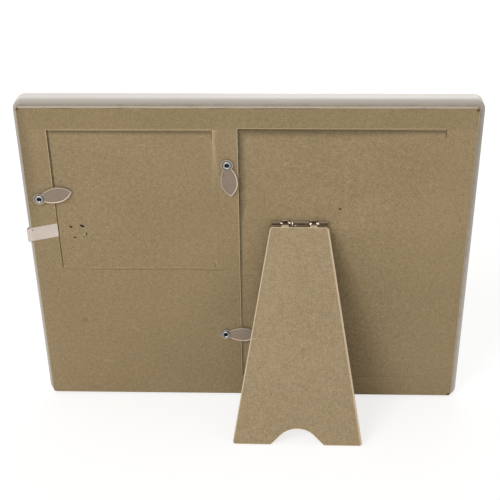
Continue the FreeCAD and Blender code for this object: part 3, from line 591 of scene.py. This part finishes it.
def tape_paper():
    """Off-white paper tape with a fine crepe, a fold line near its upper edge and a dark speck."""
    g = new_graph("white_tape")
    tape_place = Matrix.Translation((-0.1013, 0.0, 0.1104)) @ Matrix.Rotation(-math.radians(12.0), 4, "Y")
    where = g.place((UPRIGHT @ tape_place).inverted())
    along, _, aside = g.axes(where)
    crepe = g.noise(g.stretch(where, (1600.0, 900.0, 420.0)), 1.0, 3.0, 0.6)
    cloud = g.noise(where, 130.0, 3.0, 0.55)
    colour = g.ramp(cloud, [(0.3, (0.535, 0.458, 0.412)), (0.7, (0.612, 0.527, 0.475))])
    fold = g.between(aside, 0.00262, 0.00290, 0.00290, 0.00318)
    colour = g.mix(g.times(fold, 0.35), colour, (0.42, 0.35, 0.31))
    speck = g.spot(along, aside, (-0.0135, 0.0025), 0.0011, 0.0006, 20.0)
    colour = g.mix(speck, colour, (0.16, 0.11, 0.08))
    height = g.minus(crepe, g.times(fold, 0.8))
    return g.principled(Base_Color=colour, Roughness=0.72, Specular_IOR_Level=0.3, Subsurface_Weight=0.35,
                        Subsurface_Radius=(1.0, 0.92, 0.86), Subsurface_Scale=0.001,
                        Normal=g.bump(height, 0.3, 0.00008))


def clear_glass():
    """Thin picture glass with a few faint smears. Light passes straight through it."""
    g = new_graph("clear_glass")
    where = g.place(TO_UPRIGHT)
    smears = g.noise(g.stretch(where, (9.0, 30.0, 24.0), (0.0, 0.6, 0.0)), 1.0, 4.0, 0.6)
    return g.principled(Base_Color=(0.86, 0.93, 0.91), Roughness=g.ranged(smears, 0.015, 0.09), Alpha=0.16,
                        IOR=1.5)


def plain_sheet(name, dark, light, scale, depth):
    """Paper or card with its fibres."""
    g = new_graph(name)
    where = g.place(TO_UPRIGHT)
    fibres = g.noise(g.stretch(where, (1.0, 1.0, 1.8)), scale, 4.0, 0.65)
    cloud = g.noise(where, 16.0, 3.0, 0.5)
    tone = g.plus(g.times(fibres, 0.6), g.times(cloud, 0.4))
    colour = g.ramp(tone, [(0.35, dark), (0.65, light)])
    return g.principled(Base_Color=colour, Roughness=0.8, Specular_IOR_Level=0.3,
                        Normal=g.bump(fibres, 0.2, depth))


BROWN = ((0.180, 0.134, 0.071), (0.266, 0.200, 0.113), (0.356, 0.277, 0.165))
PALE = ((0.212, 0.160, 0.091), (0.297, 0.228, 0.138), (0.380, 0.300, 0.190))
PUNCTURE = (0.012, 0.008, 0.005)
SCUFF = (0.350, 0.280, 0.180)
# Each mark: its middle, length, width, turn in degrees, shade and strength
SMALL_MARKS = (
    ((-0.0944, 0.1121), 0.0020, 0.0010, -45.0, PUNCTURE, 1.0),
    ((-0.0883, 0.1127), 0.0029, 0.0014, -25.0, PUNCTURE, 1.0),
    ((-0.0873, 0.1072), 0.0018, 0.0012, 60.0, (0.46, 0.37, 0.26), 0.6),
    ((-0.0864, 0.1077), 0.0022, 0.0009, 75.0, (0.045, 0.032, 0.020), 0.95),
    ((-0.0877, 0.1062), 0.0014, 0.0007, 30.0, (0.080, 0.058, 0.035), 0.8),
    ((-0.0928, 0.1055), 0.0017, 0.0008, -5.0, PUNCTURE, 1.0),
)
LARGE_MARKS = (
    ((0.0483, 0.1236), 0.0016, 0.0014, 0.0, (0.050, 0.035, 0.022), 0.85),
)
BOARD_MARKS = (
    ((-0.0159, 0.0569), 0.0042, 0.0028, 20.0, (0.215, 0.165, 0.095), 0.5),
    ((-0.1149, 0.1805), 0.0022, 0.0016, 30.0, (0.075, 0.045, 0.028), 0.8),
    ((0.1146, 0.1802), 0.0022, 0.0018, -30.0, (0.085, 0.052, 0.032), 0.8),
    ((0.1143, 0.0008), 0.0024, 0.0014, 20.0, (0.040, 0.028, 0.020), 0.85),
    ((-0.0925, 0.0516), 0.0036, 0.0028, 35.0, (0.140, 0.104, 0.058), 0.36),
    ((-0.0640, 0.0460), 0.0060, 0.0018, -40.0, SCUFF, 0.35),
    ((-0.0810, 0.0230), 0.0080, 0.0020, -8.0, SCUFF, 0.35),
)


def sunk_door(cut, **looks):
    """What sunk_rim takes: the door's edges, a gap inside its cut, and the looks of its rim."""
    return {"left": cut[0] + DOOR_GAP, "top": cut[3] - DOOR_GAP, "bottom": cut[2] + DOOR_GAP, **looks}


SMALL_DOOR = sunk_door(SMALL_CUT, frayed=(0.118, 0.136), fringe=0.0009, shade=0.50, reach=0.0032,
                       beside=0.0012, lower=0.30)
LARGE_DOOR = sunk_door(LARGE_CUT, frayed=(0.000, 0.001), fringe=0.0006, shade=0.56, reach=0.0058,
                       beside=0.0042, lower=0.0)
# Each cut with the heights between which the painted highlight on its lip sets in
CUTS = ((SMALL_CUT, (0.114, 0.134)), (LARGE_CUT, (0.013, 0.015)))

MATERIALS = {
    "backboard": fibreboard("brown_board_back", TO_UPRIGHT, BROWN, RAW, cuts=CUTS, marks=BOARD_MARKS,
                            creased=True, painted=True),
    "small_door": fibreboard("brown_board_small_door", TO_UPRIGHT, BROWN, RAW, marks=SMALL_MARKS,
                             sunk=SMALL_DOOR, creased=True),
    "large_door": fibreboard("brown_board_large_door", TO_UPRIGHT, BROWN, RAW, marks=LARGE_MARKS,
                             sunk=LARGE_DOOR),
    "strut": fibreboard("brown_board_strut", TO_STRUT, PALE, STRUT_RAW, rubbed_and_lit=True),
    "moulding": painted_moulding(),
    "edge_tape": tape_paper(),
}
METAL, BRONZE, GLASS = bright_metal(), bronzed_metal(), clear_glass()
PAPER = plain_sheet("blank_paper", (0.80, 0.79, 0.76), (0.88, 0.87, 0.845), 900.0, 0.00003)
CARD = plain_sheet("grey_card", (0.40, 0.385, 0.35), (0.52, 0.50, 0.46), 700.0, 0.00008)
for place in EYELETS:
    MATERIALS[f"turn_button_{place}"] = leaf_plastic(place)
    MATERIALS[f"eyelet_{place}"] = METAL
for name in ("hinge_door_leaf", "hinge_strut_leaf", "hinge_pin"):
    MATERIALS[name] = BRONZE
for photo in ("small", "large"):
    MATERIALS[f"{photo}_glass"] = GLASS
    MATERIALS[f"{photo}_photo_insert"] = PAPER
    MATERIALS[f"{photo}_backing_card"] = CARD

for name, node in nodes.items():
    node.data.materials.clear()
    node.data.materials.append(MATERIALS[name])


# Pieces whose edges are eased: the same bodies, with rounded edges that catch the light

SAME_PLACE = 2e-6
FLAT_ANGLE = math.radians(1.5)
SHARP_ANGLE = math.radians(35.0)
SHADED_SHARP_ANGLE = math.radians(40.0)


def eased(name, width):
    shape = bmesh.new()
    shape.from_mesh(nodes[name].data)
    bmesh.ops.remove_doubles(shape, verts=shape.verts, dist=SAME_PLACE)
    bmesh.ops.dissolve_limit(shape, angle_limit=FLAT_ANGLE, verts=shape.verts, edges=shape.edges)
    weight = shape.edges.layers.float.new("bevel_weight_edge")
    for edge in shape.edges:
        sharp = len(edge.link_faces) == 2 and edge.calc_face_angle() > SHARP_ANGLE
        edge[weight] = 1.0 if sharp and not on_crease(edge) and not on_tight_cut(edge) else 0.0
    data = bpy.data.meshes.new(f"{name}_eased")
    shape.to_mesh(data)
    shape.free()
    data.materials.append(MATERIALS[name])
    piece = add(f"{name}_eased", data)
    bevel = piece.modifiers.new("eased_edges", "BEVEL")
    bevel.limit_method = "WEIGHT"
    bevel.width = width
    bevel.segments = 2
    data.shade_smooth()
    data.set_sharp_from_angle(angle=SHADED_SHARP_ANGLE)
    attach(piece, frame_body(name))
    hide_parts(name)


def on_crease(edge):
    """True for an edge that runs along a door's crease, where the board's skin is whole."""
    places = [TO_UPRIGHT @ vertex.co for vertex in edge.verts]
    return any(
        all(abs(place.x - x) < 0.0001 and place.z > bottom - 0.001 for place in places)
        for x, bottom in (SMALL_CREASE, LARGE_CREASE)
    )


def on_tight_cut(edge):
    """True for an edge of board or door along the large door's lower cut, which is a mere hair line."""
    places = [TO_UPRIGHT @ vertex.co for vertex in edge.verts]
    return all(
        place.x > LARGE_CUT[0] - 0.001 and abs(place.y) < 0.003 and abs(place.z - LARGE_CUT[2]) < 0.0007
        for place in places
    )


for name in ("backboard", "small_door", "large_door"):
    eased(name, 0.00016)
eased("strut", 0.00018)
for name in ("hinge_door_leaf", "hinge_strut_leaf"):
    eased(name, 0.00012)
for place in EYELETS:
    eased(f"turn_button_{place}", 0.00014)
    eased(f"eyelet_{place}", 0.00010)


# The board's skin that runs on across each door's crease

SKIN_WIDTH = 0.00005
SKIN_THICKNESS = 0.0006


def crease_skin(door, crease, levels):
    """A strip along the crease. Each level is its height above the crease's lower end and its depth."""
    x, bottom = crease
    left = x - SKIN_WIDTH
    section = [(left, 0.0), (x, 0.0), (x, SKIN_THICKNESS), (left, SKIN_THICKNESS)]
    points = [
        UPRIGHT @ Vector((across, sunk + depth, bottom + up))
        for up, sunk in levels for across, depth in section
    ]
    top = 4 * (len(levels) - 1)
    faces = [
        (ring + side, ring + (side + 1) % 4, ring + (side + 1) % 4 + 4, ring + side + 4)
        for ring in range(0, top, 4) for side in range(4)
    ]
    faces += [(3, 2, 1, 0), (top, top + 1, top + 2, top + 3)]
    data = bpy.data.meshes.new(f"{door}_crease_skin")
    data.from_pydata(points, [], faces)
    data.materials.append(MATERIALS[f"{door}_door"])
    piece = add(f"{door}_crease_skin", data)
    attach(piece, frame_body("backboard"))


crease_skin("small", SMALL_CREASE, ((0.0, 0.00002), (0.0774, 0.00002), (0.0826, 0.00035)))
crease_skin("large", LARGE_CREASE, ((0.0, 0.00002), (0.1520, 0.00002)))


# The glass panes, a hair thinner at the back than the solids, so that the photo lies behind them

PANE_SLACK = 0.00004
BACK_FACE = 0.0001


def pane(name):
    data = nodes[name].data.copy()
    data.name = f"{name}_pane"
    depths = [(TO_UPRIGHT @ vertex.co).y for vertex in data.vertices]
    back = min(depths)
    for vertex, depth in zip(data.vertices, depths):
        if depth < back + BACK_FACE:
            vertex.co -= OUT * PANE_SLACK
    piece = add(f"{name}_pane", data)
    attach(piece, frame_body(name))
    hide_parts(name)


for photo in ("small", "large"):
    pane(f"{photo}_glass")


# The tape, stuck on slanting: what is wrapped over the moulding's side runs lower. The heights and drops are
# those of its lower and its upper edge there, and the drop sets in over the first depth of the side.

TAPE_HEIGHTS = (0.1027, 0.1105)
TAPE_DROPS = (0.0020, 0.0030)
TAPE_EASE = 0.0042


def share(value, low, high):
    return min(max((value - low) / (high - low), 0.0), 1.0)


def slanted_tape():
    data = nodes["edge_tape"].data.copy()
    data.name = "edge_tape_slanted"
    for vertex in data.vertices:
        place = TO_UPRIGHT @ vertex.co
        turn = share(place.y, 0.0, TAPE_EASE) * math.pi / 2
        drop = TAPE_DROPS[0] + share(place.z, *TAPE_HEIGHTS) * (TAPE_DROPS[1] - TAPE_DROPS[0])
        vertex.co -= LEANING @ Vector((0.0, 0.0, drop * math.sin(turn)))
    piece = add("edge_tape_slanted", data)
    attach(piece, frame_body("edge_tape"))
    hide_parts("edge_tape")


slanted_tape()


# Floor: plain and pale, white where nothing shades it

FLOOR_REACH = 9.0
floor_shape = bpy.data.meshes.new("floor")
corners = [(x * FLOOR_REACH, y * FLOOR_REACH, 0.0) for x, y in ((-1, -1), (1, -1), (1, 1), (-1, 1))]
floor_shape.from_pydata(corners, [], [(0, 1, 2, 3)])
floor = add("floor", floor_shape)
g = new_graph("floor")
from_middle = g.put("VectorMath", {0: g.put("TexCoord").outputs["Object"]}, operation="LENGTH")
away = g.step(from_middle.outputs["Value"], 0.35, 1.6)
glow = g.put("Emission", {"Color": WHITE, "Strength": g.plus(g.times(away, 0.25), 0.75)})
lit_floor = g.put("BsdfDiffuse", {"Color": (0.86, 0.86, 0.86)})
shaded_floor = g.put("BsdfDiffuse", {"Color": (0.34, 0.34, 0.34)})
shown_floor = g.put("AddShader", {0: shaded_floor, 1: glow})
surface = g.put("MixShader", {0: g.shown_rays(), 1: lit_floor, 2: shown_floor})
g.put("OutputMaterial", {"Surface": surface})
floor_shape.materials.append(g.owner)

bpy.context.view_layer.update()
